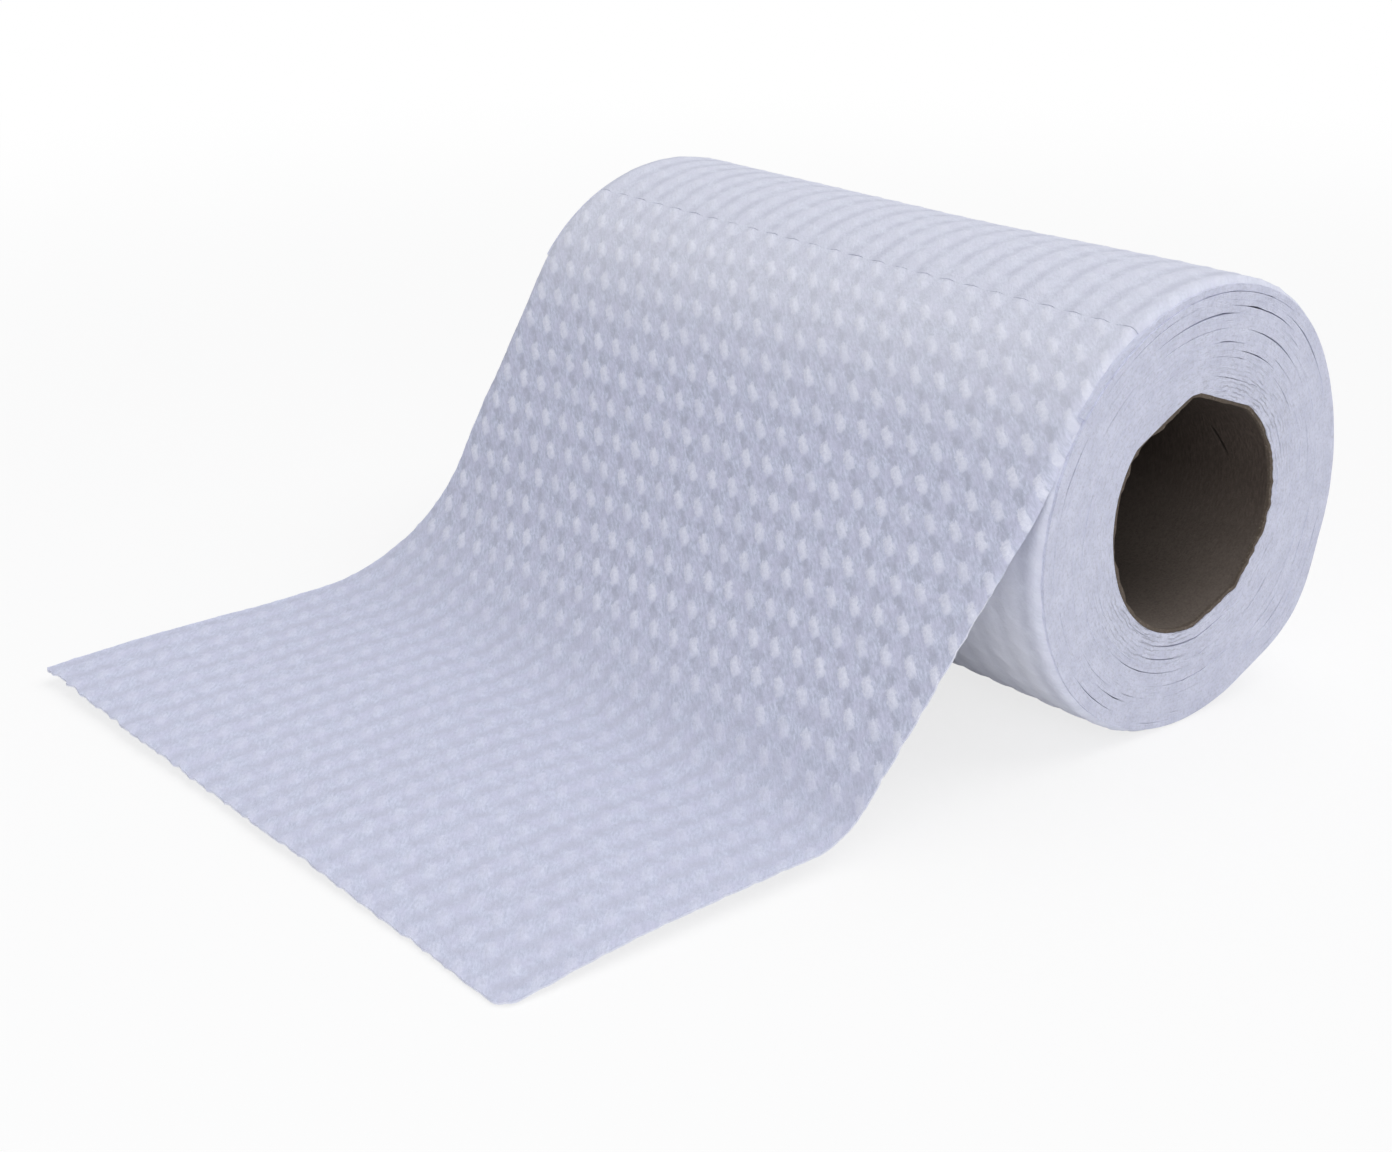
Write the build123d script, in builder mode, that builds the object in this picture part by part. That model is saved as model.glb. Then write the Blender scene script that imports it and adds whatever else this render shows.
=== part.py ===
# Cleaning cloth roll: one long embossed nonwoven sheet wound on a cardboard tube.
# The last sheet is drawn down in front of the roll and laid out on the floor.
# Frame: the roll's axis runs along X, the floor is Z = 0, and the free sheet goes towards -Y.
import os
from math import atan2, cos, degrees, radians, sin

from build123d import *

# Cardboard core, the top of its right mouth pressed flat in two places and its inside worn a little wider
core_bore = 56.0
core_wall = 1.0
core_recess = 0.5
press_reach = 40.0
mouth_wear = 0.3
press_depth = 1.9
press_angle = 75.5
side_press_depth = 1.4
side_press_angle = 118.5

# Cloth: a sheet torn off at each perforated line, wound in loose turns
cloth_width = 200.0
sheet_length = 220.0
sheet_thickness = 1.4
turn_gap = 0.7
turn_count = 12
core_clearance = 0.1
leave_angle = 150.0
arcs_per_turn = 10

# Embossed pearl rows across the cloth
pearl_pitch = 8.0
pearl_length = 4.5
pearl_height = 0.45
hollow_depth = 0.3
rows_above_leave = 4

# Perforated tear line
slit_length = 5.0
slit_width = 0.4
slit_pitch = 8.0

# Slack in the soft roll: a bulge low at the back, a flatter back, and the pressed resting spot
bulge_height = 3.2
bulge_angle = -40.0
bulge_half_angle = 24.0
flat_back_depth = 1.3
flat_back_angle = 18.0
flat_back_half_angle = 40.0
rest_press_share = 0.35

# Free sheet, at its left and right edges: the runs and turns of its hanging curve
left_leave_run = 22.0
left_leave_turn_angle = 2.0
left_bend_run = 60.0
left_bend_turn_angle = -61.0
left_arch_turn_angle = 1.0
left_end_lift = 2.4
right_leave_run = 22.0
right_leave_turn_angle = -14.0
right_bend_run = 12.0
right_bend_turn_angle = -51.0
right_arch_turn_angle = 15.0
right_end_lift = 0.0

cut_overrun = 0.5

# Worked out from the sizes above
core_radius = core_bore / 2 + core_wall
core_end = cloth_width / 2 - core_recess
turn_pitch = sheet_thickness + turn_gap
inner_radius = core_radius + core_clearance
tail_run = sheet_length - rows_above_leave * pearl_pitch
bottom_turn = turn_count - 1 + (270 - leave_angle) / 360
resting_radius = inner_radius + turn_pitch * bottom_turn + sheet_thickness
roll_height = resting_radius - rest_press_share * sheet_thickness


def swell(angle, centre, half_angle):
    """Height, from 0 to 1, of a smooth rise over a stretch of the roll's round."""
    off = (angle - centre + 180) % 360 - 180
    if abs(off) > half_angle:
        return 0
    return cos(radians(90 * off / half_angle)) ** 2


def turn_point(turn, lift):
    """Point of the wound sheet, turns counted from the core, lift from the sheet's inner face."""
    angle = leave_angle + 360 * turn
    slack = bulge_height * swell(angle, bulge_angle, bulge_half_angle)
    slack -= flat_back_depth * swell(angle, flat_back_angle, flat_back_half_angle)
    radius = inner_radius + turn_pitch * turn + lift + slack * (turn / turn_count) ** 2
    return Vector(radius * cos(radians(angle)), roll_height + radius * sin(radians(angle)))


def wind(first_step, last_step, lift):
    """Arcs of the wound sheet's face from one step of the winding to another."""
    for step in range(first_step, last_step):
        ThreePointArc(
            turn_point(step / arcs_per_turn, lift),
            turn_point((step + 0.5) / arcs_per_turn, lift),
            turn_point((step + 1) / arcs_per_turn, lift),
        )


def emboss(start, path, places):
    """Outer face along a path: a rounded ridge at each place and plain cloth between them."""
    here = start
    for place in places:
        foot = path.position_at(place - pearl_length / 2, PositionMode.LENGTH)
        far_foot = path.position_at(place + pearl_length / 2, PositionMode.LENGTH)
        along = path.tangent_at(place, PositionMode.LENGTH)
        outward = Vector(along.Y, -along.X)
        crest = path.position_at(place, PositionMode.LENGTH) + outward * pearl_height
        Line(here, foot)
        ThreePointArc(foot, crest, far_foot)
        here = far_foot
    Line(here, path.position_at(1))


def rise(heading, turn):
    """Height gained per length along an arc that starts at a heading and turns."""
    half = radians(turn) / 2
    return sin(half) / half * sin(radians(heading) + half)


def hang(leave, bend, arch_turn, end_height):
    """Hanging curve of the free sheet's outer face, from where it leaves the roll to its end."""
    leave_run, leave_turn = leave
    bend_run, bend_turn = bend
    drop_heading = leave_heading + leave_turn
    arch_heading = drop_heading + bend_turn
    arch_rise = rise(arch_heading, arch_turn)
    fall = leave_point.Y - end_height
    fall += leave_run * rise(leave_heading, leave_turn) + bend_run * rise(drop_heading, bend_turn)
    spare_run = tail_run - leave_run - bend_run
    drop_run = (fall + spare_run * arch_rise) / (arch_rise - sin(radians(drop_heading)))
    arch_run = spare_run - drop_run
    leaving = JernArc(leave_point, leave_tangent, abs(leave_run / radians(leave_turn)), leave_turn)
    drop = Line(leaving @ 1, leaving @ 1 + (leaving % 1) * drop_run)
    bending = JernArc(drop @ 1, drop % 1, abs(bend_run / radians(bend_turn)), bend_turn)
    JernArc(bending @ 1, bending % 1, abs(arch_run / radians(arch_turn)), arch_turn)


def underside(path):
    """Inner face of the free sheet, with a shallow hollow behind each pearl row, and its cut end."""
    here = leave_inner_point
    for place in tail_rows:
        for shift, depth in ((0, sheet_thickness - hollow_depth), (pearl_pitch / 2, sheet_thickness)):
            along = path.tangent_at(place + shift, PositionMode.LENGTH)
            outer = path.position_at(place + shift, PositionMode.LENGTH)
            there = outer - Vector(along.Y, -along.X) * depth
            Line(here, there)
            here = there
    end_along = path.tangent_at(1)
    end = path.position_at(1) - Vector(end_along.Y, -end_along.X) * sheet_thickness
    Line(here, end)
    Line(end, path.position_at(1))


def press_plane(angle, depth, inset):
    """Slanted flat of a pressed mouth: on the tube's round at first, a depth inside it at the end."""
    reach = core_radius - depth - inset
    across = cos(radians(angle))
    up = sin(radians(angle))
    origin = (core_end, reach * across, roll_height + reach * up)
    return Plane(origin, z_dir=(depth, press_reach * across, press_reach * up))


# Hollow of the core, pressed in the same places as its outside and a wall's thickness further in
presses = ((press_angle, press_depth), (side_press_angle, side_press_depth))
with BuildPart() as core_hollow:
    with BuildSketch(Plane.YZ.offset(-core_end)):
        with Locations((0, roll_height)):
            Circle(core_bore / 2)
    extrude(amount=2 * core_end - press_reach)
    with BuildSketch(Plane.YZ.offset(core_end - press_reach)):
        with Locations((0, roll_height)):
            Circle(core_bore / 2 + mouth_wear)
    extrude(amount=press_reach)
    for angle, depth in presses:
        split(bisect_by=press_plane(angle, depth, core_wall), keep=Keep.BOTTOM)

# Cardboard core tube: round along most of its length
with BuildPart() as core_tube:
    with BuildSketch(Plane.YZ.offset(-core_end)):
        with Locations((0, roll_height)):
            Circle(core_radius)
    extrude(amount=2 * core_end)
    for angle, depth in presses:
        split(bisect_by=press_plane(angle, depth, 0), keep=Keep.BOTTOM)
    add(core_hollow.part, mode=Mode.SUBTRACT)

core_tube.part.label = "core_tube"

# Cloth roll: the outer face's path over the last turn, which places the pearl rows
winding_steps = turn_count * arcs_per_turn
last_turn_step = winding_steps - arcs_per_turn
with BuildLine() as last_turn:
    wind(last_turn_step, winding_steps, sheet_thickness)
last_turn_path = last_turn.wire()
leave_point = turn_point(turn_count, sheet_thickness)
leave_inner_point = turn_point(turn_count, 0)
leave_tangent = last_turn_path.tangent_at(1)
leave_heading = degrees(atan2(leave_tangent.Y, leave_tangent.X)) % 360

# The first arc of the last turn is hidden where the free sheet leaves, so its rows start after it
covered_run = last_turn_path.length / arcs_per_turn
roll_row_count = int((last_turn_path.length - covered_run) / pearl_pitch)
roll_rows = [
    last_turn_path.length - (roll_row_count - row - 0.5) * pearl_pitch for row in range(roll_row_count)
]
tail_row_count = int(tail_run / pearl_pitch)
tail_rows = [(row + 0.5) * pearl_pitch for row in range(tail_row_count)]

left_tail = (
    (left_leave_run, left_leave_turn_angle), (left_bend_run, left_bend_turn_angle),
    left_arch_turn_angle, left_end_lift + sheet_thickness,
)
right_tail = (
    (right_leave_run, right_leave_turn_angle), (right_bend_run, right_bend_turn_angle),
    right_arch_turn_angle, right_end_lift + sheet_thickness,
)

# Plane of the tear line, facing out of the roll
tear_place = last_turn_path.length - rows_above_leave * pearl_pitch
tear_point = last_turn_path.position_at(tear_place, PositionMode.LENGTH)
tear_tangent = last_turn_path.tangent_at(tear_place, PositionMode.LENGTH)
tear_plane = Plane(
    (0, tear_point.X, tear_point.Y), x_dir=(1, 0, 0), z_dir=(0, tear_tangent.Y, -tear_tangent.X)
)
slit_depth = sheet_thickness + turn_gap / 2
slit_count = int((cloth_width - slit_length) / slit_pitch) + 1

with BuildLine() as left_top:
    hang(*left_tail)
with BuildLine() as right_top:
    hang(*right_tail)

with BuildPart() as cloth_roll:
    # Wound turns, with the pearl rows on the outermost one
    with BuildSketch(Plane.YZ.offset(-cloth_width / 2)):
        with BuildLine():
            wind(0, winding_steps, 0)
            wind(0, last_turn_step + 1, sheet_thickness)
            emboss(
                turn_point((last_turn_step + 1) / arcs_per_turn, sheet_thickness),
                last_turn_path, roll_rows,
            )
            Line(turn_point(0, 0), turn_point(0, sheet_thickness))
            Line(leave_inner_point, leave_point)
        make_face()
    extrude(amount=cloth_width)

    # Free sheet, ruled across from the section at its left edge to that at its right edge
    for side, top in ((-1, left_top), (1, right_top)):
        with BuildSketch(Plane.YZ.offset(side * cloth_width / 2)):
            with BuildLine():
                emboss(leave_point, top.wire(), tail_rows)
                underside(top.wire())
                Line(leave_inner_point, leave_point)
            make_face()
    loft(ruled=True)

    # Perforated tear line: a row of slits through the outermost turn
    with BuildSketch(tear_plane.offset(-slit_depth)):
        with GridLocations(slit_pitch, slit_pitch, slit_count, 1):
            Rectangle(slit_length, slit_width)
    extrude(amount=slit_depth + cut_overrun, mode=Mode.SUBTRACT)

    # Pressed spot that the roll rests on
    split(bisect_by=Plane.XY, keep=Keep.TOP)

cloth_roll.part.label = "cloth_roll"

os.makedirs("parts", exist_ok=True)
export_step(core_tube.part, "parts/core_tube.step")
export_step(cloth_roll.part, "parts/cloth_roll.step")
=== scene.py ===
from math import atan2, cos, degrees, hypot, pi, radians, sin, sqrt

import bpy
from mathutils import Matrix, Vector, noise


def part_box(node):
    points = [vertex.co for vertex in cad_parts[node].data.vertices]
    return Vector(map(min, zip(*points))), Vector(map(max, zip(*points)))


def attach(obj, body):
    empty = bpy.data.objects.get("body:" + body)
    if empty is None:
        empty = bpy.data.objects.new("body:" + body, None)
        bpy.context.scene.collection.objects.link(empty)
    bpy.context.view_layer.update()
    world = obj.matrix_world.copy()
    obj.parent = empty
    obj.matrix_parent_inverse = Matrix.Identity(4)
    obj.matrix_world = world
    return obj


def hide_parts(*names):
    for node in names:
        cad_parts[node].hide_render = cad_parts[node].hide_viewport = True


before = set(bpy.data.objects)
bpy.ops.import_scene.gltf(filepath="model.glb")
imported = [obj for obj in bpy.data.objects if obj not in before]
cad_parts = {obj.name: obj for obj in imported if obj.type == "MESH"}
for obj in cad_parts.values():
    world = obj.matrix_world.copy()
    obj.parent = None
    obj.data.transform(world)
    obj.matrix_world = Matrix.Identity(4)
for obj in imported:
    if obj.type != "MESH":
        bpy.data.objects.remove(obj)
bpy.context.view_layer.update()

# Cardboard core: a tube of grey-brown board wound in a spiral and cut to the roll's width.
# The cloth is wound on it; its right mouth has since been pressed out of round and its rim is rough.
core_low, core_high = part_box("core_tube")
core_radius = 0.029
core_length = core_high.x - core_low.x
core_wall = 0.00095
core_sides = 160
axis_height = core_low.z + core_radius
roll_axis = Vector((0.0, 0.0, axis_height))

# Pressed mouth: its swell has a height, a middle angle and a half angle, each press an angle and a depth
press_reach = 0.04
press_half_angle = 60.0
mouth_swell = (0.0034, 130.0, 75.0)
core_presses = ((70.4, 0.0008), (116.4, -0.0011), (292.0, 0.0009), (325.0, 0.0009))
mouth_rings = 19
ring_reach_share = 1.1
rim_start_share = 0.97
rim_wobble = 0.0006
rim_wave_scale = 260.0
rim_fibre_scale = 900.0
rim_fibre_share = 0.7
rim_round_share = 0.35
rim_stand_share = 0.4
rim_bevel = 0.00022
rim_bevel_angle = 50.0
core_smooth_angle = 35.0

board_colour = (0.058, 0.044, 0.037, 1.0)
board_fibre_colour = (0.094, 0.073, 0.062, 1.0)
board_stain_colour = (0.07, 0.056, 0.047, 1.0)
# Painted shade: the board's deep colour darkens the inside of the tube away from its mouths
board_deep_shade_colour = (0.02, 0.016, 0.013, 1.0)
# Painted light: this pale colour lightens the tube's low side, where light falls
board_painted_light_colour = (0.235, 0.198, 0.172, 1.0)
board_rim_colour = (0.115, 0.092, 0.074, 1.0)
board_fleck_colour = (0.33, 0.28, 0.23, 1.0)
# Painted shade in the crease
crease_shade_colour = (0.025, 0.02, 0.017, 1.0)
fibre_streak_scales = (1900.0, 600.0, 600.0)
pulp_fleck_scale = 1500.0
stain_scale = 60.0
# Painted light on the tube's low side fades out at this share of the radius above the axis
painted_light_top_share = 0.2
# Painted shade is full within this distance of the tube's middle
deep_shade_start = 0.04
rim_band_start = 0.0009
rim_band_full = 0.0004
board_bump = 0.0003
crease_place = 0.085
crease_angle = 20.5
crease_length = 0.0095
crease_half_width = 0.00035
crease_slope = radians(-64.0)


def start_piece(name):
    """Names the primitive just added, which is the active object."""
    piece = bpy.context.active_object
    piece.name = name
    piece.data.name = name
    return piece


def apply_modifier(piece, kind, **settings):
    """Adds one modifier with its settings and applies it."""
    modifier = piece.modifiers.new(kind.title(), kind)
    for setting, value in settings.items():
        setattr(modifier, setting, value)
    bpy.context.view_layer.objects.active = piece
    bpy.ops.object.modifier_apply(modifier=modifier.name)


def swell(angle, height, middle, half_angle):
    """A smooth rise or hollow over a stretch of a round."""
    off = (angle - middle + 180.0) % 360.0 - 180.0
    return height * cos(pi / 2 * off / half_angle) ** 2 if abs(off) < half_angle else 0.0


def pressed_radius(angle, place):
    """Radius of the core's outside; its right mouth swells on one side and has flat stretches."""
    share = max(0.0, (place - core_length / 2 + press_reach) / press_reach)
    radius = core_radius + share * swell(angle, *mouth_swell)
    for press_angle, depth in core_presses:
        toward = cos(radians(angle - press_angle))
        if toward > cos(radians(press_half_angle)):
            radius = min(radius, (core_radius - depth * share) / toward)
    return radius


bpy.ops.object.select_all(action="DESELECT")
bpy.ops.mesh.primitive_cylinder_add(
    vertices=core_sides, radius=core_radius, depth=core_length, end_fill_type="NOTHING",
    location=roll_axis, rotation=(0.0, pi / 2, 0.0),
)
core = start_piece("cardboard_core")
bpy.ops.object.transform_apply(location=True, rotation=True, scale=True)
bpy.ops.object.mode_set(mode="EDIT")
for ring in range(1, mouth_rings + 1):
    bpy.ops.mesh.select_all(action="SELECT")
    ring_place = core_length / 2 - press_reach * ring_reach_share * (ring / mouth_rings) ** 2
    bpy.ops.mesh.bisect(plane_co=(ring_place, 0.0, 0.0), plane_no=(1.0, 0.0, 0.0))
bpy.ops.object.mode_set(mode="OBJECT")
for vertex in core.data.vertices:
    off_axis = vertex.co - roll_axis
    angle = degrees(atan2(off_axis.z, off_axis.y))
    place = vertex.co.x
    rim_share = max(0.0, abs(place) * 2 / core_length - rim_start_share) / (1.0 - rim_start_share)
    grain_place = Vector((off_axis.y, off_axis.z, place))
    wave = noise.noise(grain_place * rim_wave_scale)
    fibre = noise.noise(grain_place * rim_fibre_scale)
    radius = pressed_radius(angle, place) + rim_wobble * rim_round_share * rim_share * wave
    vertex.co.y = radius * cos(radians(angle))
    vertex.co.z = axis_height + radius * sin(radians(angle))
    recess = rim_share * rim_wobble * (wave + rim_fibre_share * fibre - rim_stand_share)
    vertex.co.x -= recess * (1 if place > 0 else -1)
apply_modifier(core, "SOLIDIFY", thickness=core_wall, offset=-1.0, use_even_offset=True)
apply_modifier(
    core, "BEVEL", width=rim_bevel, segments=2, limit_method="ANGLE", angle_limit=radians(rim_bevel_angle),
)
bpy.ops.object.shade_smooth_by_angle(angle=radians(core_smooth_angle))


def start_material(name):
    """A node material; the makers of nodes below work on it until the next one starts."""
    global nodes, links, shader
    material = bpy.data.materials.new(name)
    material.use_nodes = True
    nodes = material.node_tree.nodes
    links = material.node_tree.links
    shader = nodes["Principled BSDF"]
    return material


def math_node(kind, first, second=None, third=None, clamp=False):
    """One Math node; each input is a socket or a number."""
    node = nodes.new("ShaderNodeMath")
    node.operation = kind
    node.use_clamp = clamp
    for socket, value in zip(node.inputs, (first, second, third)):
        if value is None:
            continue
        if isinstance(value, (int, float)):
            socket.default_value = value
        else:
            links.new(value, socket)
    return node.outputs[0]


def product(first, second):
    """Two values multiplied."""
    return math_node("MULTIPLY", first, second)


def noise_node(vector, scale, detail=3.0, roughness=0.55):
    """One Noise Texture's value on a vector socket."""
    node = nodes.new("ShaderNodeTexNoise")
    node.inputs["Scale"].default_value = scale
    node.inputs["Detail"].default_value = detail
    node.inputs["Roughness"].default_value = roughness
    links.new(vector, node.inputs["Vector"])
    return node.outputs["Fac"]


def stretched_noise(vector, scales, detail=3.0, roughness=0.55):
    """A noise with a scale of its own along each axis of a vector socket."""
    node = nodes.new("ShaderNodeMapping")
    node.inputs["Scale"].default_value = scales
    links.new(vector, node.inputs["Vector"])
    return noise_node(node.outputs[0], 1.0, detail, roughness)


def split_node(vector):
    """The x, y and z of a vector socket."""
    node = nodes.new("ShaderNodeSeparateXYZ")
    links.new(vector, node.inputs[0])
    return node.outputs[0], node.outputs[1], node.outputs[2]


def map_node(value, low, high, to_low=0.0, to_high=1.0):
    """A smooth Map Range from one span to another."""
    node = nodes.new("ShaderNodeMapRange")
    node.interpolation_type = "SMOOTHSTEP"
    for name, number in zip(("From Min", "From Max", "To Min", "To Max"), (low, high, to_low, to_high)):
        node.inputs[name].default_value = number
    links.new(value, node.inputs["Value"])
    return node.outputs["Result"]


def mix_node(share, first, second):
    """A colour Mix; each colour is a socket or four numbers."""
    node = nodes.new("ShaderNodeMix")
    node.data_type = "RGBA"
    for socket, value in ((node.inputs[0], share), (node.inputs[6], first), (node.inputs[7], second)):
        if isinstance(value, (tuple, int, float)):
            socket.default_value = value
        else:
            links.new(value, socket)
    return node.outputs[2]


def bump_node(height, strength, distance):
    """A Bump of a height socket."""
    node = nodes.new("ShaderNodeBump")
    node.inputs["Strength"].default_value = strength
    node.inputs["Distance"].default_value = distance
    links.new(height, node.inputs["Height"])
    return node.outputs[0]


board = start_material("raw core board")
shader.inputs["Roughness"].default_value = 0.92
shader.inputs["Specular IOR Level"].default_value = 0.2
object_place = nodes.new("ShaderNodeTexCoord").outputs["Object"]
object_x, object_y, object_z = split_node(object_place)
from_middle = math_node("ABSOLUTE", object_x)
fibre_streaks = stretched_noise(object_place, fibre_streak_scales, 4.0)
pulp_flecks = noise_node(object_place, pulp_fleck_scale, 5.0, 0.7)
stains = noise_node(object_place, stain_scale, 2.0)

# Crease inside the core, drawn on the tube as if it were laid out flat; it is bumped in, and painted dark
# as painted shade
core_turn = math_node("ARCTAN2", math_node("SUBTRACT", object_z, axis_height), object_y)
crease_x = math_node("SUBTRACT", object_x, crease_place)
crease_y = product(math_node("SUBTRACT", core_turn, radians(crease_angle)), core_radius - core_wall)
crease_along = math_node(
    "ADD", product(crease_x, cos(crease_slope)), product(crease_y, sin(crease_slope)),
)
crease_off = math_node(
    "SUBTRACT", product(crease_y, cos(crease_slope)), product(crease_x, sin(crease_slope)),
)
crease = product(
    map_node(math_node("ABSOLUTE", crease_off), 0.0, crease_half_width * 2, 1.0, 0.0),
    map_node(math_node("ABSOLUTE", crease_along), crease_length / 4, crease_length / 2, 1.0, 0.0),
)

board_mix = mix_node(map_node(fibre_streaks, 0.3, 0.75), board_colour, board_fibre_colour)
board_mix = mix_node(map_node(pulp_flecks, 0.6, 0.8, 0.0, 0.4), board_mix, board_fleck_colour)
board_mix = mix_node(map_node(stains, 0.35, 0.7, 0.0, 0.35), board_mix, board_stain_colour)
# Painted shade deeper inside the tube
deep_inside_shade = map_node(from_middle, deep_shade_start, core_length / 2, 0.55, 0.0)
board_mix = mix_node(deep_inside_shade, board_mix, board_deep_shade_colour)
# Painted light: the inside of the tube is painted paler towards its low side, in patches by the pulp flecks
painted_light_top = axis_height + core_radius * painted_light_top_share
painted_light_low_side = map_node(object_z, axis_height - core_radius, painted_light_top, 0.62, 0.0)
painted_light_share = product(painted_light_low_side, map_node(pulp_flecks, 0.3, 0.6, 0.6, 1.0))
board_mix = mix_node(painted_light_share, board_mix, board_painted_light_colour)
# Painted shade in the crease
board_mix = mix_node(product(crease, 0.7), board_mix, crease_shade_colour)
rim_band = map_node(from_middle, core_length / 2 - rim_band_start, core_length / 2 - rim_band_full)
rim_mix = mix_node(map_node(pulp_flecks, 0.5, 0.75, 0.0, 0.7), board_rim_colour, board_fleck_colour)
board_mix = mix_node(product(rim_band, 0.9), board_mix, rim_mix)
links.new(board_mix, shader.inputs["Base Color"])
board_height = math_node("ADD", fibre_streaks, pulp_flecks)
board_height = math_node("SUBTRACT", board_height, product(crease, 3.0))
links.new(bump_node(board_height, 0.5, board_bump), shader.inputs["Normal"])
core.data.materials.append(board)
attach(core, "root")
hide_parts("core_tube")

# Wound cloth: the inner turns of one long nonwoven sheet, wound fairly tightly on the core.
# The cut edges of the turns make the roll's two ends; the inner turns follow the core's pressed mouth.
cloth_width = 0.2
cloth_thickness = 0.0012
core_clearance = 0.0001
floor_clearance = 0.0001
inner_radius = core_radius + core_clearance
outer_radius = 0.0557
turn_count = 17
outer_turns = 1.02
leave_angle = 150.0
start_turn = 0.3
start_taper_turns = 0.3
start_taper_least_share = 0.05
step_lag_turns = 0.65
step_fade_turns = 6.0
turn_pitch = (outer_radius - cloth_thickness - inner_radius) / (turn_count - start_turn - step_lag_turns)
wound_thickness_share = 1.25
closed_share = 0.84
mouth_felt_turns = 9.0
mouth_fade_power = 1.3
winding_steps = 180
winding_place_shares = (1.0, 0.985, 0.94, 0.87, 0.78, 0.6, 0.0, -0.95, -1.0)
cloth_smooth_angle = 60.0

# Slack of the soft roll, each with a height, a middle angle and a half angle
bulge = (0.0032, -40.0, 24.0)
flat_back = (-0.0013, 18.0, 40.0)
right_swell = (0.0019, 55.0, 75.0)

# Unevenness of the turns and of their cut edges
turn_wobble = 0.0003
turn_wobble_scale = 55.0
turn_wobble_width_scale = 14.0
turn_wobble_seed = 3.7
turn_wobble_fade_turns = 2.0
edge_wobble = 0.00016
edge_wobble_share = 0.8
edge_wave_scale = 38.0
edge_wave_seed = 1.3
edge_fray_scale = 170.0
edge_fray_share = 0.6
edge_fray_seed = 8.1
edge_side_seed = 5.0
shoulder_radius = 0.003
shoulder_drop = 0.0026
loose_share = 0.09
loose_base_share = 0.2
loose_start_share = 0.15
loose_span_share = 0.4
loose_scale = 210.0
loose_seeds = (5.1, 0.7)
loose_stretches = ((70.0, 60.0), (262.0, 55.0))

cloth_colour = (0.655, 0.675, 0.83, 1.0)
cloth_edge_colour = (0.74, 0.76, 0.915, 1.0)
cloth_shade_colour = (0.43, 0.435, 0.52, 1.0)
crumpled_angles = (48.0, 240.0)
crumpled_half_angle = 50.0
crumpled_full_share = 1.05
crumpled_end_share = 1.45
near_core_share = 1.7
turn_line_pitch = 0.0011
turn_line_sway_share = 2.2
laid_out_radius = 0.042
stroke_scales = (2600.0, 320.0, 500.0)
line_sway_scales = (160.0, 130.0, 0.0)
line_patch_scales = (300.0, 150.0, 0.0)
fuzz_scale = 1300.0
tuft_scale = 190.0
cut_bump = 0.0005


def ease(share):
    """Smooth step from 0 to 1."""
    share = min(1.0, max(0.0, share))
    return share * share * (3.0 - 2.0 * share)


def uneven(first, second, third):
    """Smooth unevenness to both sides of 0, at a place given by three numbers."""
    return noise.noise(Vector((first, second, third)))


def strip_run(turn):
    """Length of the wound strip from its start on the core, which places its unevenness."""
    return turn * 2 * pi * (inner_radius + turn_pitch * turn / 2)


def wound_layer(wound):
    """How many turns lie below a point of the sheet: by steps over its start, evenly further out."""
    if wound <= 1.0:
        return 0.0
    by_steps = wound // 1 - 1.0 + ease(wound % 1 / start_taper_turns)
    evenly = wound - step_lag_turns
    return max(0.0, by_steps + (evenly - by_steps) * ease((wound - 1.0) / step_fade_turns))


def wound_point(turn, place, lift):
    """Point of the wound sheet: turns counted from the core, place across it, lift from its inner face."""
    angle = leave_angle + 360.0 * turn
    wound = turn - start_turn
    radius = inner_radius + turn_pitch * wound_layer(wound) + lift
    slack = swell(angle, *bulge) + swell(angle, *flat_back)
    slack += swell(angle, *right_swell) * ease(place * 2 / cloth_width)
    radius += slack * (turn / turn_count) ** 2
    felt_share = min(1.0, max(0.0, (mouth_felt_turns - wound) / (mouth_felt_turns - 1.0)))
    radius -= (core_radius - pressed_radius(angle, place)) * felt_share ** mouth_fade_power
    wobble = uneven(strip_run(turn) * turn_wobble_scale, place * turn_wobble_width_scale, turn_wobble_seed)
    radius += turn_wobble * wobble * ease(wound) * ease((turn_count - 1.0 - turn) / turn_wobble_fade_turns)
    height = axis_height + radius * sin(radians(angle))
    return Vector((place, radius * cos(radians(angle)), max(height, floor_clearance)))


def shoulder(depth):
    """How far the roll's soft edge is rounded off at a depth in from its face, on a quarter round."""
    inward = max(0.0, shoulder_radius - depth)
    return shoulder_radius - sqrt(shoulder_radius ** 2 - inward ** 2)


def edge_recess(turn, side):
    """How far the cut edge of a turn stands back from the cloth's full width."""
    run = strip_run(turn)
    ragged = uneven(run * edge_wave_scale, side * edge_side_seed, edge_wave_seed)
    ragged += edge_fray_share * uneven(run * edge_fray_scale, side * edge_side_seed, edge_fray_seed)
    return edge_wobble * (1.0 + edge_wobble_share * ragged) + shoulder((turn_count - turn) * turn_pitch)


def looseness(turn):
    """How far a turn has come away from the one below, mostly over and under the core."""
    angle = leave_angle + 360.0 * turn
    most = loose_base_share
    most += sum(swell(angle, 1.0 - loose_base_share, *stretch) for stretch in loose_stretches)
    slack = uneven(strip_run(turn) * loose_scale, *loose_seeds)
    return loose_share * most * ease((slack - loose_start_share) / loose_span_share)


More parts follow.
